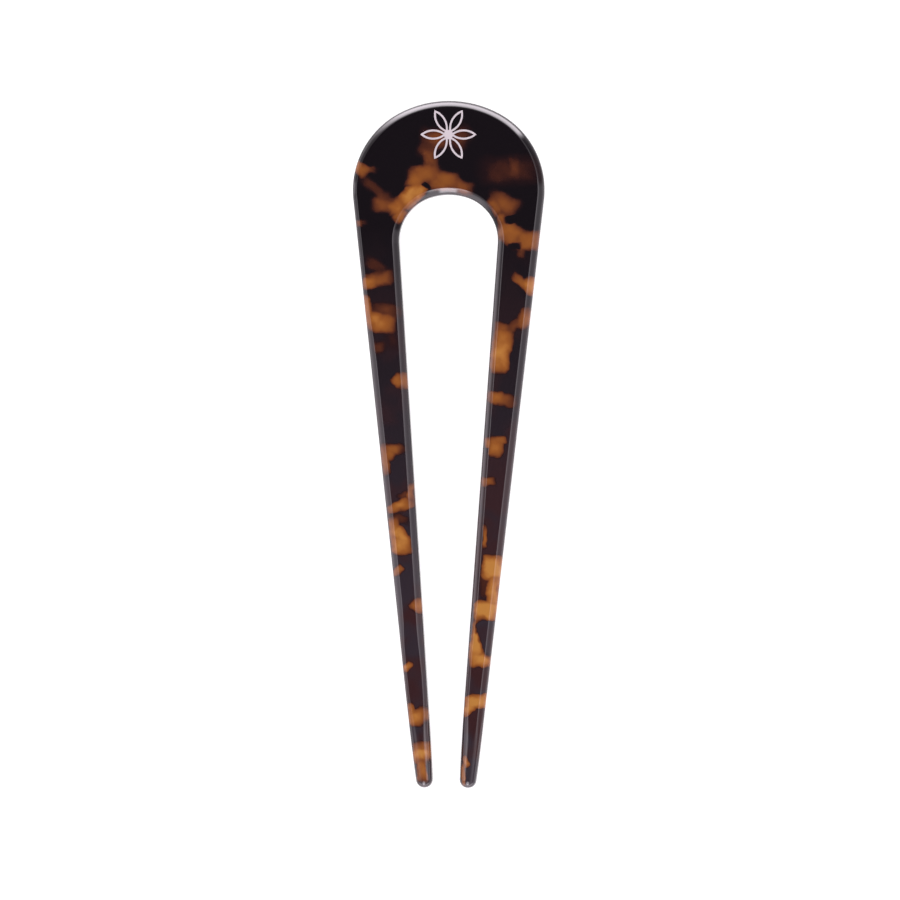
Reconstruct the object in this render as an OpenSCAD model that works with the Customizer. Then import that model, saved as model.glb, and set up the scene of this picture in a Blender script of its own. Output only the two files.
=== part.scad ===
// French hair pin: a two-pronged fork cut from one flat sheet of tortoise acetate.
// It lies on its back, front face up (+Z), crown towards +Y and prong tips towards -Y.

/* [Pin] */
// Overall length, from the top of the crown to the prong tips
pin_length = 120; // [95:1:150]
// Thickness of the sheet
sheet_t = 4; // [3.4:0.1:6]

/* [Crown] */
// Widest width, across the shoulders
crown_w = 33.5; // [28:0.5:42]
// Distance of each shoulder arc's centre from the middle line
shoulder_in = 1.6; // [0.8:0.05:2.8]
// How much larger the radius of the crown's top arc is than the shoulders'
crown_flat = 3.4; // [3:0.1:8]
// Depth of the crown, from its top to the top of the gap
crown_depth = 16.35; // [13:0.05:22]

/* [Gap] */
// Widest width of the gap between the prongs
gap_w = 17.3; // [13:0.1:20]
// Distance of each corner arc's centre from the middle line
corner_in = 0.7; // [0.4:0.05:2]
// How much larger the radius of the gap's top arc is than its corners'
gap_flat = 2.5; // [2.2:0.1:6]

/* [Prongs] */
// Distance between the centres of the two tips
tip_spread = 7.65; // [6:0.05:10]
// Radius of the ball at the end of each prong
nose_r = 1.5; // [1.2:0.05:1.6]
// How much wider than the ball the prong is there on each side, before it is rounded
nose_margin = 0.08; // [0.04:0.01:0.3]
// Length behind the ball over which the prong is rounded
nose_length = 10; // [6:0.5:24]

/* [Edges] */
// Width of the bevel round the outline and the gap, seen from the front
bevel_w = 1.1; // [0.6:0.05:1.3]
// Depth of the same bevel, down from each face
bevel_d = 0.9; // [0.6:0.05:1.6]

/* [Rosette] */
// Distance of the rosette's centre from the top of the crown
rosette_drop = 5.95; // [5.7:0.05:7]
// Radius from the rosette's centre to its petal tips
rosette_r = 4.9; // [3.6:0.05:5]
// Number of petals
petal_count = 6; // [5:1:7]
// Width of a petal
petal_w = 1.76; // [1.4:0.02:2.1]
// Width of the metal line round a petal
petal_line = 0.32; // [0.2:0.01:0.4]
// Radius of the dot in the middle
hub_r = 0.8; // [0.6:0.05:1]
// Thickness of the metal
inlay_t = 0.35; // [0.2:0.05:0.8]
// Gap round and under the metal in its recess
inlay_clearance = 0.03; // [0.02:0.01:0.06]

/* [Hidden] */
$fn = 96;

// How far a cut runs past the face that it starts from
overcut = 1;
// Width of the strips that the straight edges of a slab are made of
strip_w = 3;
// Angle that a side arc runs on under its neighbours
arc_lap = 6;
// How far a side arc stands out from its neighbours
seam_lap = 0.002;
// How far the cone behind a prong's ball clears the prong's corners where it ends
corner_clear = 0.03;

crown_top_y = pin_length / 2;
gap_top_y = crown_top_y - crown_depth;
rosette_y = crown_top_y - rosette_drop;
tip_x = tip_spread / 2;
tip_y = nose_r - pin_length / 2;
tip_half_w = nose_r + nose_margin;
// The legs of a slab run on to here, past the tips
tail_y = -pin_length / 2 - 2 * overcut;

// The crown and the gap are both three-centred arches: one flatter arc on top and two
// tighter side arcs, which run tangent into straight edges that lean in towards the tips.
// An arch is given by its half width, by how far in its side centres lie, by how much
// larger its top radius is than its side radius, and by the height of its top.
function side_radius(half_w, side_in) = half_w - side_in;
function top_radius(half_w, side_in, flat) = side_radius(half_w, side_in) + flat;

// Place of the right-hand side arc's centre
function side_centre(half_w, side_in, flat, top_y) =
    [side_in, top_y - top_radius(half_w, side_in, flat) + sqrt(pow(flat, 2) - pow(side_in, 2))];

// Angle between the straight edge and the middle line. The edge touches the side arc and
// passes the tip's centre at a distance of edge_offset, counted outwards.
function lean_angle(half_w, side_in, flat, top_y, edge_offset) =
    let (run = side_centre(half_w, side_in, flat, top_y) - [tip_x, tip_y])
    acos((edge_offset - side_radius(half_w, side_in)) / norm(run)) - atan2(run.y, run.x);

outer_lean = lean_angle(crown_w / 2, shoulder_in, crown_flat, crown_top_y, tip_half_w);
inner_lean = lean_angle(gap_w / 2, corner_in, gap_flat, gap_top_y, -tip_half_w);

// Half of the outer section, out to the edge at radius r: the bevels cut it back
module outer_section(r, from = 0) {
    polygon([
        [from, 0],
        [r - bevel_w, 0],
        [r, bevel_d],
        [r, sheet_t - bevel_d],
        [r - bevel_w, sheet_t],
        [from, sheet_t]
    ]);
}

// Half of the gap's section, out to its wall at radius r: the bevels open it out
module gap_section(r, from = 0) {
    flare = bevel_w * (1 + overcut / bevel_d);
    polygon([
        [from, -overcut],
        [r + flare, -overcut],
        [r, bevel_d],
        [r, sheet_t - bevel_d],
        [r + flare, sheet_t + overcut],
        [from, sheet_t + overcut]
    ]);
}

// Outline of a slab's middle, from its side arcs' centres down to the tail
module core_outline(centre, side_r, lean, run) {
    shoulder = centre + [side_r, side_r] / 2;
    waist = centre + [cos(lean), -sin(lean)] * (side_r - strip_w / 2);
    foot = waist + [-sin(lean), -cos(lean)] * (run - overcut / 2);
    right = [shoulder, waist, foot];
    polygon([
        for (p = right) p,
        for (i = [len(right) - 1 : -1 : 0]) [-right[i].x, right[i].y]
    ]);
}

// An arched slab with its legs, its edges shaped by the section all the way round.
// A side arc runs on under its neighbours and stands out from them by a hair, so that the
// surfaces cross instead of only touching.
module arched_slab(is_gap, half_w, side_in, flat, top_y, lean) {
    side_r = side_radius(half_w, side_in);
    top_r = top_radius(half_w, side_in, flat);
    centre = side_centre(half_w, side_in, flat, top_y);
    // Angle from the middle line to where the top arc meets the side arc
    seam = asin(side_in / flat);
    side_turn = 90 - seam + lean;
    run = (centre.y - tail_y) / cos(lean);
    low = is_gap ? -overcut : 0;
    high = is_gap ? sheet_t + overcut : sheet_t;

    translate([0, top_y - top_r, 0])
        rotate_extrude(start = 90 - seam, angle = 2 * seam)
            section(is_gap, top_r);
    for (side = [0, 1])
        mirror([side, 0, 0])
            translate([centre.x, centre.y, 0]) {
                rotate_extrude(start = -lean - arc_lap, angle = side_turn + 2 * arc_lap)
                    section(is_gap, side_r + seam_lap);
                rotate([90, 0, -lean])
                    linear_extrude(height = run)
                        section(is_gap, side_r, side_r - strip_w);
            }
    // The middle, which overlaps every piece of the rim
    translate([0, 0, low])
        linear_extrude(height = high - low)
            core_outline(centre, side_r, lean, run);
}

// The section of the slab or of the gap
module section(is_gap, r, from = 0) {
    if (is_gap)
        gap_section(r, from);
    else
        outer_section(r, from);
}

// Everything outside the round point of the right-hand prong: a ball with a slim cone
// behind it, which meets the prong's corners where it ends
module prong_point_waste() {
    spread = (outer_lean - inner_lean) / 2;
    end_half_w = tip_half_w / cos(spread) + nose_length * tan(spread);
    end_r = max(
        norm([end_half_w - bevel_w, sheet_t / 2]),
        norm([end_half_w, sheet_t / 2 - bevel_d])
    ) + corner_clear;
    low_y = tail_y - strip_w;
    difference() {
        translate([0, low_y, -overcut])
            cube([crown_w / 2, tip_y + nose_length - low_y, sheet_t + 2 * overcut]);
        translate([tip_x, tip_y, sheet_t / 2])
            rotate([-90, 0, -(outer_lean + inner_lean) / 2]) {
                sphere(r = nose_r);
                cylinder(r1 = nose_r, r2 = 2 * end_r - nose_r, h = 2 * nose_length);
            }
    }
}

// A pointed petal along +X, as the lens between two arcs, grown on all sides by grow
module petal_lens(grow) {
    reach = rosette_r - hub_r / 2;
    arc_r = (pow(reach / 2, 2) + pow(petal_w / 2, 2)) / petal_w;
    offset_y = arc_r - petal_w / 2;
    translate([rosette_r - reach / 2, 0])
        intersection() {
            translate([0, offset_y])
                circle(r = arc_r + grow);
            translate([0, -offset_y])
                circle(r = arc_r + grow);
        }
}

// The rosette seen from the front: open petals round a dot, its lines grown by grow
module rosette_outline(grow = 0) {
    circle(r = hub_r + grow);
    for (i = [0 : petal_count - 1])
        rotate([0, 0, i * 360 / petal_count])
            difference() {
                petal_lens(grow);
                petal_lens(-petal_line - grow);
            }
}

// The acetate: one piece, with a recess in the crown for the metal
module pin_body() {
    color("#3a2418")
        difference() {
            arched_slab(false, crown_w / 2, shoulder_in, crown_flat, crown_top_y, outer_lean);
            arched_slab(true, gap_w / 2, corner_in, gap_flat, gap_top_y, inner_lean);
            for (side = [0, 1])
                mirror([side, 0, 0])
                    prong_point_waste();
            translate([0, rosette_y, sheet_t - inlay_t - inlay_clearance])
                linear_extrude(height = inlay_t + inlay_clearance + overcut)
                    rosette_outline(inlay_clearance);
        }
}

// The metal set into the crown, flush with the front face
module crown_rosette() {
    color("#d2ced2")
        translate([0, rosette_y, sheet_t - inlay_t])
            linear_extrude(height = inlay_t)
                rosette_outline();
}

pin_body();
crown_rosette();
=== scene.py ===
"""A french hair pin: a two-pronged fork cut from one flat sheet of tortoise acetate.

It lies on its back, front face up, with its crown towards +Y and its tips towards -Y.
Sizes are in millimetres, and a finished mesh is scaled to metres once, when it is made.
"""
import logging
import math
from dataclasses import dataclass, field
from enum import Enum

import bmesh
import bpy
from bmesh.types import BMEdge, BMesh, BMVert
from bpy.types import ColorRamp, Material, NodeOutputs, NodeSocket, NodeTree, Object, World
from mathutils import Matrix, Vector


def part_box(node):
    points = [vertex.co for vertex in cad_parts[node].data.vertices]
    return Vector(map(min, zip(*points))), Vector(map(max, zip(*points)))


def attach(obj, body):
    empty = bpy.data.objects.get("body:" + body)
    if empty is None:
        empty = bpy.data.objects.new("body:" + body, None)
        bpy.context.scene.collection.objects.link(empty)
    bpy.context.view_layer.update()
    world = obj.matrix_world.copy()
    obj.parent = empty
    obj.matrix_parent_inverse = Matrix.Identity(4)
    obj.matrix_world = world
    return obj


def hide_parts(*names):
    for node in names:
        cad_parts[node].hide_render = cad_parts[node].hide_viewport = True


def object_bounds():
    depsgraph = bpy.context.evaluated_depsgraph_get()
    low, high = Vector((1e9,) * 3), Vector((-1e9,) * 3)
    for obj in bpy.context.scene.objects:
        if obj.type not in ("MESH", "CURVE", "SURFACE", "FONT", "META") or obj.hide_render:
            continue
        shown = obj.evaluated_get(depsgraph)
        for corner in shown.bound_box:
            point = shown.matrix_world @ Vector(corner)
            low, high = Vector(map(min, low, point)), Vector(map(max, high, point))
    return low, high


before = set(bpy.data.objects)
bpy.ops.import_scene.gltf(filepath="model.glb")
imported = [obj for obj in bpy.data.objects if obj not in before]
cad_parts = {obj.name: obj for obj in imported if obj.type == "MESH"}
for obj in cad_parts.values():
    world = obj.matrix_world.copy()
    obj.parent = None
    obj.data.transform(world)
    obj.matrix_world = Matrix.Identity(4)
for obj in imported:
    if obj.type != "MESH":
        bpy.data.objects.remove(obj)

CAD_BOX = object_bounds()
MM = 0.001
# Distance in millimetres within which two points are one
MERGE = 1e-4
UP = Vector((0, 0, 1))
LOG = logging.getLogger("french_hair_pin")


class Slot(Enum):
    """Names of the pieces' material slots, which the log gives beside each piece."""

    ACETATE = "tortoise_acetate"
    SILVER = "silver_mark"


def linear(hex_colour: str) -> tuple[float, float, float, float]:
    """Turns an sRGB hex colour into linear light.

    Args:
        hex_colour: Six hex digits after a hash sign.

    Returns:
        Red, green, blue and an alpha of 1.
    """
    values = [int(hex_colour[i : i + 2], 16) / 255 for i in (1, 3, 5)]
    light = [v / 12.92 if v <= 0.04045 else ((v + 0.055) / 1.055) ** 2.4 for v in values]
    return (*light, 1.0)


def add_node(
    tree: NodeTree, kind: str, inputs: dict | None = None, **settings: object
) -> NodeOutputs:
    """Adds one shader node with its settings, values and links.

    Args:
        tree: Node tree that the node goes into.
        kind: What the node's type name says after ShaderNode, such as Math.
        inputs: Value, or socket to link from, for each input by its name or number.
        **settings: Properties to set on the node.

    Returns:
        The new node's outputs.
    """
    node = tree.nodes.new("ShaderNode" + kind)
    for name, value in settings.items():
        setattr(node, name, value)
    for key, value in (inputs or {}).items():
        if isinstance(value, NodeSocket):
            tree.links.new(value, node.inputs[key])
        else:
            node.inputs[key].default_value = value
    return node.outputs


def set_ramp(ramp: ColorRamp, stops: list[tuple[float, tuple]]) -> None:
    """Gives a colour ramp its stops.

    Args:
        ramp: The ramp.
        stops: Place and linear colour of each stop, from low to high.
    """
    elements = ramp.elements
    while len(elements) > 1:
        elements.remove(elements[-1])
    elements[0].position, elements[0].color = stops[0]
    for position, colour in stops[1:]:
        elements.new(position).color = colour


def new_material(name: str, constants: dict) -> Material:
    """Makes a material.

    Args:
        name: Name of the material.
        constants: Value of each input of the shader that differs from its default.

    Returns:
        The material, with its constants set on the shader's own sockets.
    """
    made = bpy.data.materials.new(name)
    made.use_nodes = True
    shader = made.node_tree.nodes["Principled BSDF"]
    for key, value in constants.items():
        shader.inputs[key].default_value = value
    return made


def mesh_object(name: str, bm: BMesh) -> Object:
    """Scales a finished bmesh to metres and links it into the scene as an object.

    Args:
        name: Name of the object and of its mesh.
        bm: Shape in millimetres, which is freed.

    Returns:
        The new object, at the origin, unturned and unscaled.
    """
    bmesh.ops.recalc_face_normals(bm, faces=bm.faces)
    bmesh.ops.scale(bm, vec=(MM, MM, MM), verts=bm.verts)
    mesh = bpy.data.meshes.new(name)
    bm.to_mesh(mesh)
    bm.free()
    piece = bpy.data.objects.new(name, mesh)
    bpy.context.scene.collection.objects.link(piece)
    return piece


def wire_of(geom: list) -> list[BMEdge]:
    """Picks the edges out of the mixed geometry that an operator gave back."""
    return [g for g in geom if isinstance(g, BMEdge)]


def lowest_edge(loop: list[BMEdge], side: int) -> BMEdge:
    """Finds the edge of a loop that lies lowest on the right (1) or left (-1)."""
    own = [e for e in loop if e.verts[0].co.x * side > 0]
    return min(own, key=lambda e: e.verts[0].co.y + e.verts[1].co.y)


def push_wire(
    bm: BMesh, wire: list[BMEdge], direction: Vector, gaps: list[float]
) -> list[BMEdge]:
    """Extrudes a wire straight ahead, ring after ring.

    Args:
        bm: Mesh that holds the wire.
        wire: Edges of the section's last ring.
        direction: Unit vector along which the rings follow each other.
        gaps: Distance from each ring to the next one.

    Returns:
        The edges of the new last ring.
    """
    for gap in gaps:
        made = bmesh.ops.extrude_edge_only(bm, edges=wire)["geom"]
        verts = [g for g in made if isinstance(g, BMVert)]
        ring = set(verts)
        wire = [e for e in wire_of(made) if e.verts[0] in ring and e.verts[1] in ring]
        bmesh.ops.translate(bm, vec=direction * gap, verts=verts)
    return wire


def turn_wire(
    bm: BMesh, wire: list, centre: Vector, degrees: float, steps: int, axis: Vector = UP
) -> list:
    """Spins a wire, or a single vertex, about a centre.

    Args:
        bm: Mesh that holds the wire.
        wire: Edges, or vertex, of the last ring.
        centre: Point on the axis of the turn.
        degrees: Angle of the turn, counterclockwise.
        steps: Number of new rings.
        axis: Direction of the axis.

    Returns:
        The geometry of the new last ring.
    """
    ends = dict.fromkeys(v for e in wire if isinstance(e, BMEdge) for v in e.verts)
    made = bmesh.ops.spin(
        bm,
        geom=list(wire) + list(ends),
        cent=centre,
        axis=axis,
        angle=math.radians(degrees),
        steps=steps,
        use_merge=False,
        use_duplicate=False,
    )["geom_last"]
    edges = wire_of(made)
    return edges if edges else made


@dataclass(frozen=True)
class Arch:
    """A three-centred arch: a flatter top arc between two side arcs with straight legs.

    The legs run tangent from the side arcs and lean in towards the prong tips.
    """

    half_w: float
    # How far in the side arcs' centres lie, and how much larger the top arc's radius is
    side_in: float
    flat: float
    top_y: float
    # Centre of the right tip's ball, and how far outside it the leg's edge passes
    tip: Vector
    edge_offset: float

    @property
    def side_r(self) -> float:
        """Radius of the side arcs."""
        return self.half_w - self.side_in

    @property
    def top_r(self) -> float:
        """Radius of the top arc."""
        return self.side_r + self.flat

    @property
    def top_centre(self) -> Vector:
        """Centre of the top arc."""
        return Vector((0, self.top_y - self.top_r, 0))

    @property
    def side_centre(self) -> Vector:
        """Centre of the right-hand side arc."""
        drop = math.sqrt(self.flat**2 - self.side_in**2)
        return self.top_centre + Vector((self.side_in, drop, 0))

    @property
    def seam(self) -> float:
        """Angle in degrees from the middle line to where the top arc meets a side arc."""
        return math.degrees(math.asin(self.side_in / self.flat))

    @property
    def lean(self) -> float:
        """Angle in degrees between a leg's straight edge and the middle line."""
        run = self.side_centre - self.tip
        turn = math.acos((self.edge_offset - self.side_r) / run.length)
        return math.degrees(turn - math.atan2(run.y, run.x))

    @property
    def leg(self) -> float:
        """Length of a leg's straight edge, from beside the tip's centre to the side arc."""
        run = self.side_centre - self.tip
        return math.sqrt(run.length_squared - (self.side_r - self.edge_offset) ** 2)

    def depth_in(self, place: Vector) -> tuple[float, Vector]:
        """Finds how far inside the outline a point lies, and the way straight out.

        Args:
            place: Point in millimetres.

        Returns:
            Distance from the outline, and the unit vector out of it.
        """
        side = math.copysign(1.0, place.x)
        spot = Vector((abs(place.x), place.y, 0))
        lean = math.radians(self.lean)
        from_side = spot - self.side_centre
        from_top = spot - self.top_centre
        if from_side.dot(self.up(1)) < 0:
            out = Vector((math.cos(lean), -math.sin(lean), 0))
            depth = self.side_r - from_side.dot(out)
        elif math.degrees(math.atan2(from_top.x, from_top.y)) < self.seam:
            out = from_top.normalized()
            depth = self.top_r - from_top.length
        else:
            out = from_side.normalized()
            depth = self.side_r - from_side.length
        return depth, Vector((side * out.x, out.y, 0))

    def up(self, side: int) -> Vector:
        """Unit vector up along the straight edge of the right (1) or left (-1) leg."""
        lean = math.radians(self.lean)
        return Vector((side * math.sin(lean), math.cos(lean), 0))


class Edge(Enum):
    """The two edges of a prong."""

    OUTER = 1
    GAP = -1


@dataclass(frozen=True)
class LeanBevel:
    """A stretch of an edge where the wheel polished less away, so its bevel is smaller."""

    edge: Edge
    # Right prong (1) or left prong (-1)
    side: int
    # Places down from the crown's top between which the bevel is smallest
    first: float
    last: float
    # Length of the change at either end, and the share of the bevel that is missing
    change: float
    missing: float

    def missing_at(self, down: float) -> float:
        """Gives the share of the bevel that is missing at one height.

        Args:
            down: Distance down from the crown's top.

        Returns:
            The share, which eases in from nothing at either end of the stretch.
        """
        away = max(self.first - down, down - self.last, 0.0) / self.change
        near = max(1.0 - away, 0.0)
        return self.missing * near * near * (3 - 2 * near)


LEAN_BEVELS = [
    LeanBevel(Edge.OUTER, -1, 15, 34, 12, 0.34),
    LeanBevel(Edge.OUTER, -1, 97, 104, 9, 0.42),
    LeanBevel(Edge.GAP, -1, 101, 105, 9, 0.32),
    LeanBevel(Edge.GAP, 1, 96, 105, 9, 0.3),
]


@dataclass(frozen=True)
class RosetteLines:
    """Sizes of the six-petal rosette, and its outline as flat bmesh faces."""

    drop: float = 5.95
    reach: float = 4.9
    petals: int = 6
    petal_w: float = 1.76
    line: float = 0.32
    hub_r: float = 0.8
    arc_steps: int = 20

    def add_petal(self, bm: BMesh, grow: float) -> None:
        """Adds one open petal along +X as a flat ring between two pointed lenses.

        Args:
            bm: Mesh that the faces go into.
            grow: How far the metal line is grown on both sides.
        """
        length = self.reach - self.hub_r / 2
        arc_r = ((length / 2) ** 2 + (self.petal_w / 2) ** 2) / self.petal_w
        middle_x = self.reach - length / 2
        rise = arc_r - self.petal_w / 2
        for radius in (arc_r + grow, arc_r - self.line - grow):
            half = math.sqrt(radius**2 - rise**2)
            sweep = 2 * math.degrees(math.atan2(half, rise))
            point = bm.verts.new((middle_x + half, 0, 0))
            for side in (-1, 1):
                centre = Vector((middle_x, side * rise, 0))
                point = turn_wire(bm, [point], centre, sweep, self.arc_steps)[0]
        bmesh.ops.remove_doubles(bm, verts=bm.verts, dist=MERGE)
        bmesh.ops.bridge_loops(bm, edges=[e for e in bm.edges if e.is_wire])

    def add_outline(self, bm: BMesh, grow: float) -> None:
        """Adds the petals and the hub as flat faces round the origin.

        Args:
            bm: Empty mesh that the faces go into.
            grow: How far the lines are grown on both sides.
        """
        self.add_petal(bm, grow)
        bmesh.ops.spin(
            bm,
            geom=bm.verts[:] + bm.edges[:] + bm.faces[:],
            cent=(0, 0, 0),
            axis=(0, 0, 1),
            angle=math.tau * (self.petals - 1) / self.petals,
            steps=self.petals - 1,
            use_duplicate=True,
        )
        bmesh.ops.create_circle(
            bm, cap_ends=True, segments=2 * self.arc_steps, radius=self.hub_r + grow
        )

    def solid(self, grow: float, low: float, high: float, centre_y: float) -> BMesh:
        """Extrudes the outline into closed shells, one for each petal and one for the hub.

        Args:
            grow: How far the lines are grown on both sides.
            low: Height of the lower face.
            high: Height of the upper face.
            centre_y: Place of the rosette's centre on the middle line.

        Returns:
            A new mesh in millimetres.
        """
        bm = bmesh.new()
        self.add_outline(bm, grow)
        made = bmesh.ops.extrude_face_region(bm, geom=bm.faces[:], use_keep_orig=True)["geom"]
        top = [g for g in made if isinstance(g, BMVert)]
        bmesh.ops.translate(bm, vec=(0, 0, high - low), verts=top)
        bmesh.ops.translate(bm, vec=(0, centre_y, low), verts=bm.verts)
        bmesh.ops.recalc_face_normals(bm, faces=bm.faces)
        return bm


@dataclass
class PinBody:
    """The acetate: crown and prongs as one rim section swept round the whole outline."""

    length: float
    crown_w: float
    sheet_t: float
    shoulder_in: float = 1.6
    crown_flat: float = 3.4
    crown_depth: float = 16.35
    gap_w: float = 17.3
    corner_in: float = 0.7
    gap_flat: float = 2.5
    tip_spread: float = 7.65
    nose_r: float = 1.5
    nose_margin: float = 0.08
    nose_length: float = 10.0
    corner_clear: float = 0.03
    bevel_w: float = 1.1
    bevel_d: float = 0.9
    # Half of the angle through which the polished bevel curves, from its flat chord
    bevel_bulge: float = 4.5
    bevel_steps: int = 5
    # How far back from the section's corners polishing has softened them, at the face
    # and at the wall
    soften: float = 0.1
    soften_wall: float = 0.22
    soften_steps: int = 4
    # Flat strip beside each corner, which keeps the shading of the flats even
    holding: float = 0.15
    side_steps: int = 44
    top_steps: int = 16
    tip_steps: int = 13
    # Rings along the rounded end: how far past it they reach, and how they crowd to the tip
    nose_rings: int = 26
    nose_cover: float = 1.1
    nose_crowding: float = 1.25
    leg_rings: int = 22
    face_cuts: int = 7
    # Width over which the ball, the cone and the flats of a tip run into each other
    tip_blend: float = 0.15
    rosette: RosetteLines = field(default_factory=RosetteLines)
    inlay_t: float = 0.35
    inlay_clearance: float = 0.03
    # How far the recess tool runs past the front face
    overcut: float = 1.0
    # Smallest angle between two faces that stays a sharp edge
    sharp_angle: float = 35.0

    @property
    def tip(self) -> Vector:
        """Centre of the right tip's ball, seen from the front."""
        return Vector((self.tip_spread / 2, self.nose_r - self.length / 2, 0))

    @property
    def tip_half_w(self) -> float:
        """Half of the prong's width beside the tip's centre, before it is rounded."""
        return self.nose_r + self.nose_margin

    @property
    def crown(self) -> Arch:
        """The outer outline."""
        half_w, top_y = self.crown_w / 2, self.length / 2
        return Arch(half_w, self.shoulder_in, self.crown_flat, top_y, self.tip, self.tip_half_w)

    @property
    def gap(self) -> Arch:
        """The outline of the gap between the prongs."""
        half_w, top_y = self.gap_w / 2, self.length / 2 - self.crown_depth
        return Arch(half_w, self.corner_in, self.gap_flat, top_y, self.tip, -self.tip_half_w)

    def draw_section(self, bm: BMesh, edge: Vector, outward: Vector) -> list:
        """Draws the rim's section as a wire, from the front face round to the back face.

        Args:
            bm: Empty mesh.
            edge: Point of the outline where the section stands.
            outward: Unit vector out of the pin, square to the outline.

        Returns:
            The edges of the section.
        """
        along = UP.cross(outward)
        face_end = edge - outward * self.bevel_w + UP * self.sheet_t
        wall_end = edge + UP * (self.sheet_t - self.bevel_d)
        chord = wall_end - face_end
        inward = along.cross(chord).normalized()
        bulge = math.radians(self.bevel_bulge)
        radius = chord.length / 2 / math.sin(bulge)
        if inward.z > 0:
            inward.negate()
        centre = (face_end + wall_end) / 2 + inward * radius * math.cos(bulge)

        corner = bm.verts.new(face_end)
        start = bm.verts.new(face_end - outward * (self.holding + self.soften))
        bm.edges.new((start, corner))
        sweep = 2 * self.bevel_bulge
        last = turn_wire(bm, [corner], centre, sweep, self.bevel_steps, along)[0]
        middle = bm.verts.new(edge + UP * self.sheet_t / 2)
        bm.edges.new((last, middle))
        for vert, offset in ((corner, self.soften), (last, self.soften_wall)):
            bmesh.ops.bevel(
                bm,
                geom=[vert],
                offset=offset,
                offset_type="OFFSET",
                segments=self.soften_steps,
                profile=0.5,
                affect="VERTICES",
                material=-1,
            )
        bmesh.ops.mirror(
            bm,
            geom=bm.verts[:] + bm.edges[:],
            matrix=Matrix.Translation(-UP * self.sheet_t / 2),
            merge_dist=MERGE,
            axis="Z",
        )
        return bm.edges[:]

    def leg_gaps(self, leg: float) -> list[float]:
        """Spaces the rings of a leg, close together along the rounded end.

        Args:
            leg: Length of the straight edge.

        Returns:
            Distance between each ring and the next, from the tip upwards.
        """
        nose = self.nose_length * self.nose_cover
        shares = [i / self.nose_rings for i in range(self.nose_rings + 1)]
        rise = [nose * share**self.nose_crowding for share in shares]
        gaps = [b - a for a, b in zip(rise, rise[1:])]
        return gaps + [(leg - nose) / self.leg_rings] * self.leg_rings

    def sweep_rim(self, bm: BMesh) -> None:
        """Sweeps the section round crown, prongs and gap, back to where it started.

        Args:
            bm: Empty mesh.
        """
        crown, gap = self.crown, self.gap
        right = self.tip
        left = Vector((-right.x, right.y, 0))
        lean = math.radians(crown.lean)
        outward = Vector((math.cos(lean), -math.sin(lean), 0))
        mirrored = Vector((-1, 1, 1))

        wire = self.draw_section(bm, right + outward * self.tip_half_w, outward)
        for arch, way in ((crown, 1), (gap, -1)):
            turn = way * (90 - arch.seam + arch.lean)
            near, far = arch.side_centre, arch.side_centre * mirrored
            if way < 0:
                near, far = far, near
            gaps = self.leg_gaps(arch.leg)
            wire = push_wire(bm, wire, arch.up(way), gaps)
            wire = turn_wire(bm, wire, near, turn, self.side_steps)
            wire = turn_wire(bm, wire, arch.top_centre, way * 2 * arch.seam, self.top_steps)
            wire = turn_wire(bm, wire, far, turn, self.side_steps)
            wire = push_wire(bm, wire, -arch.up(-way), gaps[::-1])
            tip = left if way > 0 else right
            wire = turn_wire(bm, wire, tip, 180 + gap.lean - crown.lean, self.tip_steps)
        bmesh.ops.remove_doubles(bm, verts=bm.verts, dist=MERGE * 10)

    def close_faces(self, bm: BMesh) -> None:
        """Fills the front and the back with rungs from the outer to the inner outline.

        Args:
            bm: Mesh that holds the swept rim.
        """
        rim = [e for e in bm.edges if e.is_boundary]
        for height in (0.0, self.sheet_t):
            loop = [e for e in rim if abs(e.verts[0].co.z - height) < MERGE]
            ends = [lowest_edge(loop, side) for side in (-1, 1)]
            chains = [e for e in loop if e not in ends]
            made = bmesh.ops.bridge_loops(bm, edges=chains)
            rungs = [e for e in made["edges"] if e not in ends]
            bmesh.ops.subdivide_edges(bm, edges=rungs, cuts=self.face_cuts, use_grid_fill=True)

    def polish_edges(self, bm: BMesh) -> None:
        """Draws the bevels in where the wheel took less of an edge.

        Args:
            bm: Mesh that holds the swept rim.
        """
        half_t = self.sheet_t / 2
        reach = self.bevel_w + self.holding + self.soften + MERGE
        outlines = {Edge.OUTER: self.crown, Edge.GAP: self.gap}
        for vert in bm.verts:
            down = self.length / 2 - vert.co.y
            for edge, arch in outlines.items():
                depth, out = arch.depth_in(vert.co)
                inset = depth * edge.value
                if not -MERGE < inset < reach:
                    continue
                rows = [r for r in LEAN_BEVELS if r.edge is edge and r.side * vert.co.x > 0]
                share = 1 - sum(row.missing_at(down) for row in rows)
                vert.co += out * edge.value * min(inset, self.bevel_w) * (1 - share)
                rise = vert.co.z - half_t
                under = half_t - abs(rise)
                if under < self.bevel_d:
                    under *= share
                else:
                    wall = (half_t - share * self.bevel_d) / (half_t - self.bevel_d)
                    under = half_t - abs(rise) * wall
                vert.co.z = half_t + math.copysign(half_t - under, rise)

    def round_tips(self, bm: BMesh) -> None:
        """Draws the prong ends in to a slim cone with a ball at its end.

        Args:
            bm: Mesh of the whole pin.
        """
        outer, inner = self.crown.lean, self.gap.lean
        spread = math.radians(outer - inner) / 2
        half_w = self.tip_half_w / math.cos(spread) + self.nose_length * math.tan(spread)
        half_t = self.sheet_t / 2
        corners = ((half_w - self.bevel_w, half_t), (half_w, half_t - self.bevel_d))
        end_r = self.corner_clear + max(math.hypot(*corner) for corner in corners)
        lean = math.radians(outer + inner) / 2
        for side in (-1, 1):
            ball = Vector((side * self.tip.x, self.tip.y, half_t))
            axis = Vector((side * math.sin(lean), math.cos(lean), 0))
            for vert in bm.verts:
                offset = vert.co - ball
                if vert.co.x * side < 0 or offset.y > 2 * self.nose_length:
                    continue
                along = max(offset.dot(axis), 0.0)
                limit = self.nose_r + (end_r - self.nose_r) * along / self.nose_length
                foot = ball + axis * along
                radial = vert.co - foot
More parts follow.
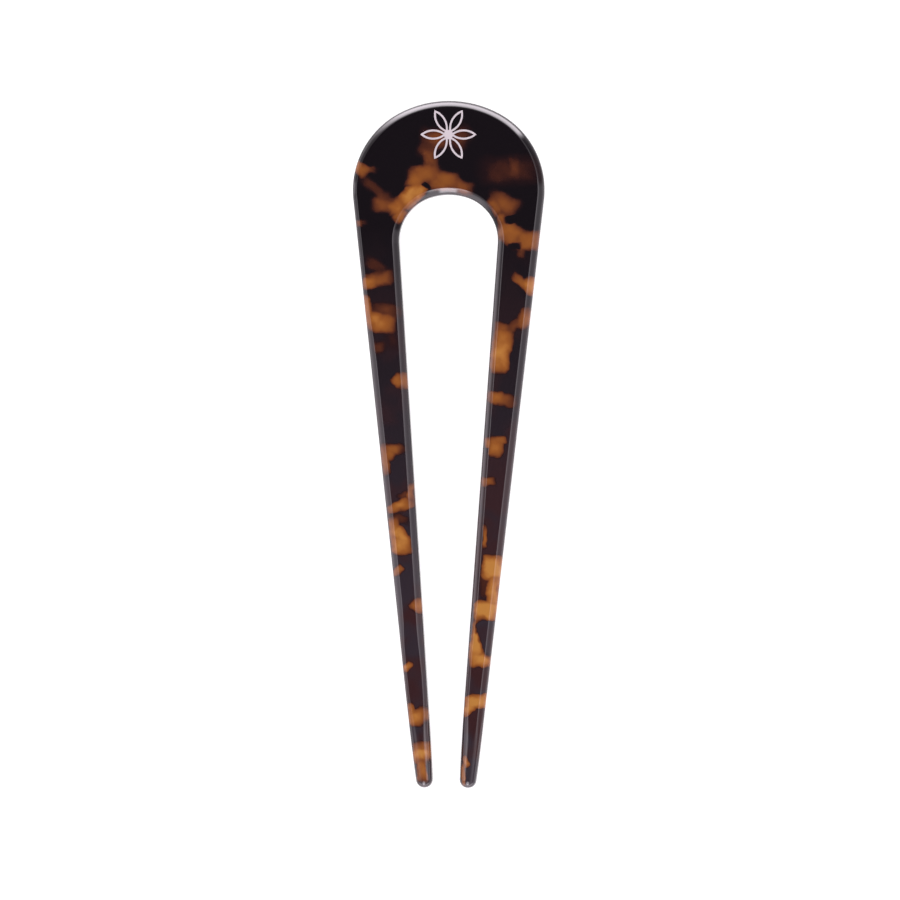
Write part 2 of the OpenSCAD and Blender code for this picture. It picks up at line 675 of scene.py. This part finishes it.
                # A smooth minimum, which rounds the line where two surfaces cross
                near = max(self.tip_blend - abs(radial.length - limit), 0.0) / self.tip_blend
                length = min(radial.length, limit) - near**2 * self.tip_blend / 4
                vert.co = foot + radial.normalized() * length

    def build(self) -> Object:
        """Builds the pin's mesh with the recess for the rosette.

        Returns:
            The finished object.
        """
        bm = bmesh.new()
        self.sweep_rim(bm)
        self.polish_edges(bm)
        self.close_faces(bm)
        self.round_tips(bm)
        piece = mesh_object("acetate_pin", bm)
        self.cut_recess(piece)
        return piece

    def cut_recess(self, piece: Object) -> None:
        """Cuts the rosette's recess and keeps its walls crisp.

        Args:
            piece: The pin without its recess.
        """
        low = self.sheet_t - self.inlay_t - self.inlay_clearance
        high = self.sheet_t + self.overcut
        centre_y = self.length / 2 - self.rosette.drop
        shape = self.rosette.solid(self.inlay_clearance, low, high, centre_y)
        tool = mesh_object("recess_tool", shape)
        cut = piece.modifiers.new("rosette_recess", "BOOLEAN")
        cut.operation = "DIFFERENCE"
        cut.solver = "EXACT"
        cut.use_self = True
        cut.object = tool
        shown = piece.evaluated_get(bpy.context.evaluated_depsgraph_get())
        piece.data = bpy.data.meshes.new_from_object(shown)
        piece.data.name = piece.name
        piece.modifiers.clear()
        bpy.data.objects.remove(tool)
        smooth_by_angle(piece, self.sharp_angle)


def smooth_by_angle(piece: Object, degrees: float) -> None:
    """Shades a mesh smooth, with sharp edges where its faces meet at a larger angle.

    Args:
        piece: Mesh object.
        degrees: Smallest angle between two faces that stays sharp.
    """
    bm = bmesh.new()
    bm.from_mesh(piece.data)
    for face in bm.faces:
        face.smooth = True
    for edge in bm.edges:
        edge.smooth = edge.calc_face_angle(0.0) < math.radians(degrees)
    bm.to_mesh(piece.data)
    bm.free()


@dataclass(frozen=True)
class Patch:
    """One translucent patch in the dark acetate, or one dark cut into such a patch.

    Places are in millimetres: x to the right of the middle line, down from the crown's top.
    The turn is in degrees, counterclockwise, and the glow is the field's value in its middle.
    """

    name: str
    x: float
    down: float
    half_long: float
    half_wide: float
    turn: float
    glow: float


CROWN_PATCHES = [
    Patch("left shoulder", -15.4, 11.9, 1.9, 1.35, -35, 1.7),
    Patch("left shoulder spur", -13.9, 12.1, 1.6, 0.55, -8, 0.5),
    Patch("smoke trail", -12.8, 15.4, 3, 0.9, -40, 0.38),
    Patch("left lobe, upper", -11.3, 17, 1.2, 0.9, 0, 0.5),
    Patch("left lobe", -10.8, 18.2, 2.7, 1.5, -4, 0.9),
    Patch("left lobe, inner", -9, 18.6, 1.8, 1.5, 30, 1.9),
    Patch("left lobe, foot", -8.5, 19.9, 1.5, 0.9, 60, 1.7),
    Patch("band over the gap", -6.4, 16.5, 3, 1.5, 45, 3),
    Patch("band over the gap, core", -5.2, 15.8, 1.9, 1.2, 42, 2.8),
    Patch("middle, left", -5.7, 13.9, 1.8, 1.6, 70, 1.5),
    Patch("middle", -4.2, 12.8, 3.1, 1.8, 8, 1.2),
    Patch("middle, right", -0.9, 14, 3, 1.9, -8, 1.25),
    Patch("right arm", 2.3, 15, 2.3, 1.3, -18, 0.85),
    Patch("neck", -3.3, 9.9, 2.3, 1.5, 100, 0.85),
    Patch("neck, top", -4.3, 7.4, 2.2, 1, 80, 0.3),
    Patch("haze at the rosette, left", -2, 6.8, 2.3, 2, 0, 0.75),
    Patch("haze at the rosette, right", 2, 6.6, 2.2, 1.7, 50, 0.4),
    Patch("right cloud", 11.2, 12.2, 4.8, 2.2, 0, 0.25),
    Patch("right cloud core", 11.5, 11.6, 1.8, 0.9, 90, 0.5),
    Patch("right cloud foot", 8.2, 13, 1.1, 1.1, 0, 0.18),
    Patch("right lobe", 9.7, 18.1, 2.9, 2, -25, 0.95),
    Patch("right lobe, inner", 8.1, 18.6, 2, 1, -60, 1.2),
    Patch("right shoulder link", 9.4, 20.5, 1.1, 0.9, 90, 1.1),
    Patch("right shoulder band", 10.7, 23.1, 2.7, 2.2, -35, 1.7),
    Patch("right shoulder band, outer", 13.8, 24.4, 2.7, 1.9, -5, 1.5),
    Patch("right shoulder spur", 12.9, 26.3, 1.1, 0.8, 85, 0.5),
]

LEFT_PATCHES = [
    Patch("edge fleck", -15.57, 21.6, 0.9, 0.8, 0, 0.9),
    Patch("edge fleck, spur", -14.77, 21.4, 0.7, 0.4, 15, 0.3),
    Patch("first band, lobe", -12.64, 28.8, 2.1, 0.9, -25, 0.34),
    Patch("first band", -12.1, 31.2, 2.9, 1.6, 8, 1.1),
    Patch("first band, core", -13.69, 31.8, 1.6, 1.2, 5, 2),
    Patch("bright block, fringe", -10.9, 36.6, 2.8, 1.4, -6, 0.52),
    Patch("bright block", -11.61, 38.8, 2.8, 1.9, -4, 1.8),
    Patch("bright block, core", -13.02, 38.3, 1.9, 1.9, -20, 2.1),
    Patch("bright block, edge", -14.04, 36.3, 2.6, 0.9, 102, 1.8),
    Patch("rust spot", -12.06, 43.1, 1.2, 1.1, 0, 0.42),
    Patch("rust shade", -9.78, 41.6, 1.6, 1, -80, 0.15),
    Patch("inner notch", -8.6, 48.9, 1.35, 1.35, 45, 1.7),
    Patch("inner notch, edge", -7.68, 48.9, 1.7, 0.7, 90, 1.4),
    Patch("wedge", -9.69, 60.9, 2.1, 1.1, 5, 1.3),
    Patch("wedge, edge", -11.15, 62.7, 2.9, 1, 99, 1.4),
    Patch("wedge, middle", -10.09, 61.9, 1.3, 1.1, 45, 1.3),
    Patch("wedge, haze", -8, 60.8, 1, 0.8, 0, 0.3),
    Patch("slanting band", -8.3, 70.7, 2.6, 1, 20, 2.2),
    Patch("slanting band, spur", -6.35, 68.4, 1.8, 0.5, 88, 1.2),
    Patch("slanting band, rust", -7.37, 68.9, 1.3, 0.8, 35, 0.5),
    Patch("rust line", -8.16, 72.9, 1.7, 0.8, -20, 0.35),
    Patch("large field", -8, 77.5, 2.1, 1.9, 0, 3),
    Patch("large field, upper", -9.26, 74.9, 2.4, 1.2, 95, 2),
    Patch("large field, slope", -8.2, 75.9, 2.2, 1.3, -52, 3),
    Patch("small patch", -8.4, 81.9, 0.95, 0.95, 45, 1.5),
    Patch("small patch, edge", -8.95, 82.3, 0.8, 0.7, 0, 1.1),
    Patch("inner patch", -5, 88.1, 1.3, 1.3, 45, 1.7),
    Patch("inner patch, upper", -4.9, 87.2, 0.8, 0.7, 0, 0.9),
    Patch("edge patch", -6.68, 98.7, 1.1, 0.8, 50, 2.2),
    Patch("lower field", -5.22, 107.5, 1.8, 1.7, 0, 2.3),
    Patch("lower field, outer", -6.1, 106.2, 1.4, 0.9, 112, 2),
    Patch("lower field, inner", -3.71, 107.1, 1.4, 1.2, 85, 1.4),
    Patch("lowest field", -4.3, 113.7, 2.3, 2.1, 0, 1.9),
    Patch("lowest field, core", -4.51, 113.9, 1.8, 1.3, 0, 3.6),
    Patch("tip", -4.35, 116.9, 2.2, 1.25, 84, 2),
]

RIGHT_PATCHES = [
    Patch("edge slant", 13.11, 31.8, 2.5, 1, -38, 1.4),
    Patch("edge slant, outer", 14.21, 32.3, 1.7, 1.2, 110, 2.3),
    Patch("rising slant, rust", 11.59, 39.2, 2.3, 0.9, 38, 0.65),
    Patch("rising slant", 13.48, 38, 2.1, 1.3, 62, 1.4),
    Patch("tall field, fringe", 9.3, 39.5, 1.7, 1, -8, 0.95),
    Patch("tall field, upper", 9.5, 41.4, 2.1, 2, -8, 1.9),
    Patch("tall field", 9.06, 44.3, 3.5, 2, 86, 2.8),
    Patch("pointed band", 9.16, 52, 3.1, 1.25, -10, 1.1),
    Patch("pointed band, core", 8.66, 51.7, 1.5, 1.1, 0, 1.6),
    Patch("cut stone", 8.51, 60.4, 1.9, 1.5, 82, 2),
    Patch("cut stone, corner", 9.41, 59.2, 1.2, 0.8, 15, 1.4),
    Patch("cut stone, edge", 6.91, 59.7, 1.1, 0.9, 90, 1.5),
    Patch("small patch", 7.32, 66.3, 1.3, 0.75, 0, 1.1),
    Patch("small patch, edge", 6.32, 66.5, 1, 0.7, 90, 1.1),
    Patch("sliver", 6.54, 76, 2.2, 0.5, 91, 1.6),
    Patch("large field", 7.85, 81.4, 2.4, 1.9, 90, 3.8),
    Patch("large field, lower", 8.04, 85.4, 3.8, 1.2, 85, 2.7),
    Patch("large field, rust", 6.54, 84.6, 2.7, 0.9, 92, 0.3),
    Patch("brightest band", 6.84, 89, 2.4, 2, -2, 4),
    Patch("inner strip", 5.3, 94.4, 4.3, 1.35, 86, 3.2),
    Patch("inner strip, foot", 5.8, 97.4, 2.1, 1.45, 0, 3.2),
    Patch("lower field", 5.3, 104.75, 2.4, 1.4, 12, 3.6),
    Patch("lower field, corner", 4.05, 106, 1.5, 1, 28, 2.8),
    Patch("small lower patch", 3.35, 115.2, 1.2, 0.7, -60, 2),
    Patch("tip strip", 2.75, 117.4, 2.4, 0.6, 88, 1.7),
]

DARK_CUTS = [
    Patch("over the gap", -3.7, 14.8, 0.8, 0.3, -35, 0.9),
    Patch("right shoulder", 11.5, 25.4, 1.1, 0.5, 5, 0.8),
    Patch("between the shoulder patches", 11.6, 20.6, 1.6, 0.6, 5, 1.5),
    Patch("right strip, top", 7, 91.8, 1.6, 1, 0, 2.4),
    Patch("right strip, foot", 7.05, 93.6, 3, 1.1, -74, 2.6),
    Patch("left tip", -2.75, 117.9, 2.6, 0.7, 97, 1.6),
]


@dataclass(frozen=True)
class TortoiseAcetate:
    """Polished cellulose acetate: a near-black dye with amber patches all through it."""

    crown_top: float
    sheet_t: float
    # Ground colours at the crown and at the tips, where a painted reflection lightens the ground,
    # and the red that clouds them
    crown_dark: str = "#100d10"
    tip_dark_and_painted_sheen: str = "#272126"
    cloud_red: str = "#2c1a1b"
    cloud_size: float = 7.0
    # Noise at which the red starts, and at which it is full
    cloud_start: float = 0.42
    cloud_full: float = 0.62
    # Down to where the ground is darkest, and from where the painted reflection on it is brightest
    painted_sheen_start: float = 22.0
    painted_sheen_full: float = 88.0
    # Colours from the rim of a patch to its middle, each with its place in the field
    tones: tuple = (
        (0.06, "#1f1112"),
        (0.25, "#321a14"),
        (0.50, "#472618"),
        (0.80, "#5c331b"),
        (1.20, "#6c3f1d"),
        (1.70, "#78471f"),
        (2.30, "#885728"),
        (3.00, "#956730"),
    )
    field_span: float = 3.0
    # How far down the field the dark red halo round a patch reaches
    halo: float = 0.3
    # How much the glow of the patches varies, and over what distance
    uneven: float = 0.5
    uneven_size: float = 2.2
    uneven_detail: float = 3.0
    # Cellulose acetate bends light like most clear plastics, and its polish shows the
    # lights as crisp, bright lines on the bevels
    ior: float = 1.48
    roughness: float = 0.07
    # Size of each kind of swirl that warps the patches, and how far it moves an edge
    swirls: tuple = ((2.6, 1.3), (1.1, 0.32))
    # How far the pattern shifts sideways for each millimetre of depth
    depth_shear: float = 0.35
    # How softly two patches join, and how far one family of patches pushes the next aside
    blend: float = 0.6
    cut_blend: float = 0.3
    family_push: float = 0.02

    def warped_place(self, tree: NodeTree) -> NodeSocket:
        """Adds the nodes that give a swirled place in millimetres, flat on the sheet.

        Args:
            tree: The material's node tree.

        Returns:
            Socket with the place as a vector.
        """
        place = add_node(tree, "TexCoord")["Object"]
        scaled = add_node(
            tree, "VectorMath", {0: place, 1: (1 / MM,) * 3}, operation="MULTIPLY", name="place_mm"
        )[0]
        warped = scaled
        for size, reach in self.swirls:
            swirl = add_node(tree, "TexNoise", {"Vector": scaled, "Scale": 1 / size})["Color"]
            # The noise is even round a half, and is moved to lie round zero
            inputs = {0: swirl, 1: (0.5,) * 3}
            centred = add_node(tree, "VectorMath", inputs, operation="SUBTRACT")[0]
            inputs = {0: centred, 1: (reach,) * 3, 2: warped}
            warped = add_node(tree, "VectorMath", inputs, operation="MULTIPLY_ADD")[0]
        parts = add_node(tree, "SeparateXYZ", {0: warped})
        depth = add_node(tree, "Math", {0: parts["Z"], 1: self.sheet_t}, operation="SUBTRACT")[0]
        inputs = {0: depth, 1: self.depth_shear, 2: parts["X"]}
        shifted = add_node(tree, "Math", inputs, operation="MULTIPLY_ADD")[0]
        return add_node(tree, "CombineXYZ", {"X": shifted, "Y": parts["Y"]})[0]

    def patch_value(self, tree: NodeTree, place: NodeSocket, patch: Patch) -> NodeSocket:
        """Adds one patch, which is its glow at its centre and zero at its edge.

        Args:
            tree: The material's node tree.
            place: Socket with the swirled place.
            patch: The patch.

        Returns:
            Socket with the patch's value.
        """
        inputs = {
            "Vector": place,
            "Location": (patch.x, self.crown_top - patch.down, 0),
            "Rotation": (0, 0, math.radians(patch.turn)),
            "Scale": (patch.half_long, patch.half_wide, 1),
        }
        local = add_node(tree, "Mapping", inputs, vector_type="TEXTURE", label=patch.name)[0]
        squared = add_node(tree, "VectorMath", {0: local, 1: local}, operation="MULTIPLY")[0]
        distance = add_node(tree, "VectorMath", {0: squared}, operation="LENGTH")["Value"]
        inputs = {0: distance, 1: -patch.glow, 2: patch.glow}
        return add_node(tree, "Math", inputs, operation="MULTIPLY_ADD")[0]

    def pattern(self, tree: NodeTree) -> NodeSocket:
        """Adds the whole pattern: patches joined smoothly, then the dark cuts.

        Args:
            tree: The material's node tree.

        Returns:
            Socket with the field, above zero inside the patches.
        """
        place = self.warped_place(tree)
        value = -1.0
        for family in (CROWN_PATCHES, LEFT_PATCHES, RIGHT_PATCHES):
            for patch in family:
                inputs = {0: self.patch_value(tree, place, patch), 1: value, 2: self.blend}
                value = add_node(tree, "Math", inputs, operation="SMOOTH_MAX")[0]
            inputs = {0: value, 1: self.family_push}
            push = add_node(tree, "Math", inputs, operation="MULTIPLY", use_clamp=True)[0]
            place = add_node(tree, "VectorMath", {0: place, 1: push}, operation="ADD")[0]
        for patch in DARK_CUTS:
            inputs = {0: self.patch_value(tree, place, patch), 1: -1.0}
            inverse = add_node(tree, "Math", inputs, operation="MULTIPLY")[0]
            inputs = {0: inverse, 1: value, 2: self.cut_blend}
            value = add_node(tree, "Math", inputs, operation="SMOOTH_MIN")[0]
        place = tree.nodes["place_mm"].outputs[0]
        inputs = {"Vector": place, "Scale": 1 / self.uneven_size, "Detail": self.uneven_detail}
        clouds = add_node(tree, "TexNoise", inputs)[0]
        inputs = {0: clouds, 1: 2 * self.uneven, 2: 1.0 - self.uneven}
        strength = add_node(tree, "Math", inputs, operation="MULTIPLY_ADD")[0]
        return add_node(tree, "Math", {0: value, 1: strength}, operation="MULTIPLY")[0]

    def ground(self, tree: NodeTree) -> NodeSocket:
        """Adds the dark ground, which a painted reflection makes lighter from the crown to the tips.

        Args:
            tree: The material's node tree.

        Returns:
            Socket with the ground's colour, painted reflection included.
        """
        place = tree.nodes["place_mm"].outputs[0]
        parts = add_node(tree, "SeparateXYZ", {0: place})
        inputs = {
            "Value": parts["Y"],
            "From Min": self.crown_top - self.painted_sheen_start,
            "From Max": self.crown_top - self.painted_sheen_full,
        }
        share = add_node(tree, "MapRange", inputs)[0]
        # Blends from the dark dye at the crown to the tips, which a painted reflection makes lighter
        inputs = {"Factor": share, "A": linear(self.crown_dark), "B": linear(self.tip_dark_and_painted_sheen)}
        along = add_node(tree, "Mix", inputs, data_type="RGBA")["Result"]
        inputs = {"Vector": place, "Scale": 1 / self.cloud_size}
        clouds = add_node(tree, "TexNoise", inputs)[0]
        inputs = {"Value": clouds, "From Min": self.cloud_start, "From Max": self.cloud_full}
        spread = add_node(tree, "MapRange", inputs, interpolation_type="SMOOTHSTEP")[0]
        redness = add_node(tree, "Math", {0: spread, 1: share}, operation="MULTIPLY")[0]
        inputs = {"Factor": redness, "A": along, "B": linear(self.cloud_red)}
        return add_node(tree, "Mix", inputs, data_type="RGBA")["Result"]

    def material(self) -> Material:
        """Makes the material.

        Returns:
            Polished tortoise acetate.
        """
        constants = {"IOR": self.ior, "Roughness": self.roughness}
        made = new_material("polished_tortoise_acetate", constants)
        tree = made.node_tree
        value = self.pattern(tree)
        inputs = {0: value, 1: self.field_span}
        share = add_node(tree, "Math", inputs, operation="DIVIDE")[0]
        tones = add_node(tree, "ValToRGB", {0: share})["Color"]
        stops = [(place / self.field_span, linear(colour)) for place, colour in self.tones]
        set_ramp(tones.node.color_ramp, stops)
        inputs = {"Value": value, "From Min": -self.halo, "From Max": self.halo}
        cover = add_node(tree, "MapRange", inputs, interpolation_type="SMOOTHSTEP")[0]
        inputs = {"Factor": cover, "A": self.ground(tree), "B": tones}
        colour = add_node(tree, "Mix", inputs, data_type="RGBA")["Result"]
        tree.links.new(colour, tree.nodes["Principled BSDF"].inputs["Base Color"])
        return made


@dataclass(frozen=True)
class SatinSilver:
    """Thin silver-plated metal with a fine satin surface."""

    colour: str = "#c9c4c6"
    # The satin surface spreads what it reflects, so the lines look pale and even
    roughness: float = 0.65

    def material(self) -> Material:
        """Makes the material.

        Returns:
            Satin silver.
        """
        colour = linear(self.colour)
        constants = {"Base Color": colour, "Metallic": 1.0, "Roughness": self.roughness}
        return new_material("satin_silver", constants)


@dataclass
class CrownRosette:
    """The metal set into the crown."""

    node: str = "crown_rosette"

    def dress(self, finish: SatinSilver) -> Object:
        """Gives the metal its finish.

        Args:
            finish: The metal's finish.

        Returns:
            The dressed object.
        """
        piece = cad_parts[self.node]
        piece.data.materials.clear()
        piece.data.materials.append(finish.material())
        return piece


@dataclass(frozen=True)
class OpalAcrylic:
    """White acrylic sheet with a satin face."""

    white: str = "#a8a8a8"
    roughness: float = 0.25
    # Lamps under the sheet light it evenly, so it looks white and hides most of a shadow
    light: str = "#ffffff"
    glow: float = 0.78

    def material(self) -> Material:
        """Makes the material.

        Returns:
            Opal acrylic, lit from below.
        """
        constants = {
            "Base Color": linear(self.white),
            "Roughness": self.roughness,
            "Emission Color": linear(self.light),
            "Emission Strength": self.glow,
        }
        return new_material("opal_acrylic", constants)


@dataclass(frozen=True)
class LightTable:
    """A plain table with a lit top, which the pin lies on."""

    size: float = 6000.0
    # How far the top lies under the pin
    drop: float = 0.02

    def build(self, finish: OpalAcrylic) -> Object:
        """Builds the table's top.

        Args:
            finish: Finish of the top.

        Returns:
            The floor.
        """
        bm = bmesh.new()
        bmesh.ops.create_grid(bm, x_segments=1, y_segments=1, size=self.size / 2)
        bmesh.ops.translate(bm, vec=(0, 0, CAD_BOX[0].z / MM - self.drop), verts=bm.verts)
        floor = mesh_object("light_table", bm)
        floor.data.materials.append(finish.material())
        return floor


@dataclass(frozen=True)
class LightCard:
    """One card of light round the table, by the directions in which the pin sees it.

    Angles are in degrees: across from its middle direction, and up from the horizon.
    """

    name: str
    # Middle direction, counted clockwise from straight beyond the crown
    bearing: float
    # Its two ends across, and the width of the soft step at each
    across: tuple[float, float]
    soft_across: tuple[float, float]
    # Its two ends upwards, and the width of the soft step at each
    up: tuple[float, float]
    soft_up: tuple[float, float]
    level: float
    # How far the card rises for each degree to the right
    slant: float = 0.0


LIGHT_CARDS = [
    LightCard("crown light", 0, (-37, 44), (30, 7), (3, 14), (4, 17), 14.5, 0.08),
    LightCard("tip light", 180, (-52, 52), (30, 30), (-4, 19), (4, 8), 2.9),
    LightCard("gap glint", 181, (-5.5, 10.5), (4, 4), (13, 30), (4, 8), 8.5),
    LightCard("east foot", 90, (-8, 10), (6, 5), (-5, 30), (4, 14), 0.9),
    LightCard("east strip", 90, (-11, 14), (8, 6), (-5, 9), (4, 4), 1.4),
    LightCard("west foot", 270, (-11, -1), (5, 8), (-5, 30), (4, 14), 1.2),
    LightCard("west strip", 270, (1, 9), (4, 5), (-5, 11), (4, 8), 2.1),
    LightCard("high tip light", 184, (-20, 20), (10, 10), (20, 64), (10, 12), 5.5),
    LightCard("east corners", 90, (-14, 14), (8, 8), (32, 58), (8, 8), 2.4),
    LightCard("west corners", 270, (-14, 14), (8, 8), (32, 58), (8, 8), 2.4),
    LightCard("tip sheen", 184, (-45, 45), (30, 30), (60, 76), (8, 6), 0.5),
]


@dataclass(frozen=True)
class StudioTent:
    """A white tent round the table, open and dark round the lens, with cards of light."""

    # Direction of the opening, and the brightness of the tent by the angle from there
    opening: tuple = (-0.03, 0.05, 0.99)
    ramp: tuple = ((0, 0.02), (20, 0.02), (38, 0.6), (52, 1.3), (66, 1.3), (74, 0.1))
    # Brightness just above the table's edge, and the angle over which it falls off
    horizon: float = 3.6
    horizon_fall: float = 4.6
    tint: str = "#fff6fe"

    def masked(
        self, tree: NodeTree, value: NodeSocket, edge: float, soft: float, factor: NodeSocket | float
    ) -> NodeSocket:
        """Adds a soft step and multiplies it onto a factor.

        Args:
            tree: The world's node tree.
            value: Socket with the angle.
            edge: Angle at the middle of the step.
            soft: Width of the step, negative where the step falls.
            factor: Number or socket that the step is multiplied onto.

        Returns:
            Socket with the product.
        """
        inputs = {"Value": value, "From Min": edge - soft / 2, "From Max": edge + soft / 2}
        step = add_node(tree, "MapRange", inputs, interpolation_type="SMOOTHSTEP")[0]
        return add_node(tree, "Math", {0: step, 1: factor}, operation="MULTIPLY")[0]

    def add_card(
        self, tree: NodeTree, direction: NodeSocket, height: NodeSocket, card: LightCard
    ) -> NodeSocket:
        """Adds the brightness of one card.

        Args:
            tree: The world's node tree.
            direction: Socket with the direction.
            height: Socket with the angle above the horizon.
            card: The card.

        Returns:
            Socket with the card's brightness in each direction.
        """
        inputs = {"Vector": direction, "Angle": math.radians(card.bearing)}
        turned = add_node(tree, "VectorRotate", inputs, rotation_type="Z_AXIS", label=card.name)[0]
        parts = add_node(tree, "SeparateXYZ", {0: turned})
        radians = add_node(tree, "Math", {0: parts["X"], 1: parts["Y"]}, operation="ARCTAN2")[0]
        across = add_node(tree, "Math", {0: radians}, operation="DEGREES")[0]
        inputs = {0: across, 1: -card.slant, 2: height}
        up = add_node(tree, "Math", inputs, operation="MULTIPLY_ADD")[0]
        level = card.level
        masks = ((across, card.across, card.soft_across), (up, card.up, card.soft_up))
        for angle, ends, soft in masks:
            level = self.masked(tree, angle, ends[0], soft[0], level)
            level = self.masked(tree, angle, ends[1], -soft[1], level)
        return level

    def add_horizon(self, tree: NodeTree, height: NodeSocket) -> NodeSocket:
        """Adds the light that the table's far edge gives, which is even below the horizon.

        Args:
            tree: The world's node tree.
            height: Socket with the angle above the horizon.

        Returns:
            Socket with the brightness.
        """
        inputs = {0: height, 1: -1 / self.horizon_fall}
        exponent = add_node(tree, "Math", inputs, operation="MULTIPLY")[0]
        capped = add_node(tree, "Math", {0: exponent, 1: 0.0}, operation="MINIMUM")[0]
        fall = add_node(tree, "Math", {0: capped}, operation="EXPONENT")[0]
        return add_node(tree, "Math", {0: fall, 1: self.horizon}, operation="MULTIPLY")[0]

    def add_ramp(self, tree: NodeTree, direction: NodeSocket) -> NodeSocket:
        """Adds the tent's brightness by the angle from its opening.

        Args:
            tree: The world's node tree.
            direction: Socket with the direction.

        Returns:
            Socket with the brightness.
        """
        inputs = {0: direction, 1: tuple(Vector(self.opening).normalized())}
        nearness = add_node(tree, "VectorMath", inputs, operation="DOT_PRODUCT")["Value"]
        away = add_node(tree, "Math", {0: 1.0, 1: nearness}, operation="SUBTRACT")[0]
        ramp = add_node(tree, "ValToRGB", {0: away})["Color"]
        stops = [(1 - math.cos(math.radians(a)), (v, v, v, 1.0)) for a, v in self.ramp]
        set_ramp(ramp.node.color_ramp, stops)
        return ramp

    def build(self) -> World:
        """Builds the world's shader.

        Returns:
            The world.
        """
        world = bpy.data.worlds.new("studio_tent")
        bpy.context.scene.world = world
        world.use_nodes = True
        tree = world.node_tree
        background = tree.nodes["Background"]
        direction = add_node(tree, "TexCoord")["Generated"]
        parts = add_node(tree, "SeparateXYZ", {0: direction})
        rise = add_node(tree, "Math", {0: parts["Z"]}, operation="ARCSINE")[0]
        height = add_node(tree, "Math", {0: rise}, operation="DEGREES")[0]
        lights = [self.add_ramp(tree, direction), self.add_horizon(tree, height)]
        lights += [self.add_card(tree, direction, height, card) for card in LIGHT_CARDS]
        total = lights[0]
        for light in lights[1:]:
            total = add_node(tree, "Math", {0: total, 1: light}, operation="ADD")[0]
        background.inputs["Color"].default_value = linear(self.tint)
        tree.links.new(total, background.inputs["Strength"])
        return world


@dataclass(frozen=True)
class OverheadCamera:
    """A long lens high above the pin, tipped a little to its right."""

    image_px: int = 900
    mm_per_px: float = 0.17475
    distance: float = 700.0
    sensor: float = 36.0
    tip_degrees: float = 3.5
    roll_degrees: float = 0.26
    # Place of the pin's middle in the image
    middle_px: tuple = (447.7, 444.7)
    # Nearest and farthest distance that the lens shows
    clip: tuple = (50.0, 20000.0)

    def build(self) -> Object:
        """Makes the scene's camera.

        Returns:
            The camera.
        """
        data = bpy.data.cameras.new("overhead_camera")
        data.sensor_width = self.sensor
        data.lens = self.sensor * self.distance / (self.image_px * self.mm_per_px)
        half = self.image_px / 2
        aim = Vector((half - self.middle_px[0], self.middle_px[1] - half, 0)) * self.mm_per_px
        aim.z = CAD_BOX[1].z / MM / 2
        tilt = Matrix.Rotation(math.radians(self.tip_degrees), 4, "Y")
        camera = bpy.data.objects.new("overhead_camera", data)
        place = (aim + tilt @ Vector((0, 0, self.distance))) * MM
        roll = Matrix.Rotation(math.radians(self.roll_degrees), 4, "Z")
        camera.matrix_world = Matrix.Translation(place) @ tilt @ roll
        data.clip_start, data.clip_end = (distance * MM for distance in self.clip)
        bpy.context.scene.collection.objects.link(camera)
        bpy.context.scene.camera = camera
        return camera


def main() -> None:
    """Builds the pin, its rosette and the studio, and reports each piece."""
    logging.basicConfig(level=logging.INFO, format="%(name)s: %(message)s")
    bpy.context.scene.view_settings.view_transform = "Standard"
    low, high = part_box("pin_body")
    size = (high - low) / MM

    pin = PinBody(length=size.y, crown_w=size.x, sheet_t=size.z)
    body = pin.build()
    finish = TortoiseAcetate(crown_top=size.y / 2, sheet_t=size.z)
    body.data.materials.append(finish.material())
    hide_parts("pin_body")
    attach(body, "root")

    rosette = CrownRosette().dress(SatinSilver())
    for piece, slot in ((body, Slot.ACETATE), (rosette, Slot.SILVER)):
        LOG.info("%s, %s: %d faces", piece.name, slot.value, len(piece.data.polygons))

    LightTable().build(OpalAcrylic())
    StudioTent().build()
    OverheadCamera().build()


if __name__ == "__main__":
    main()
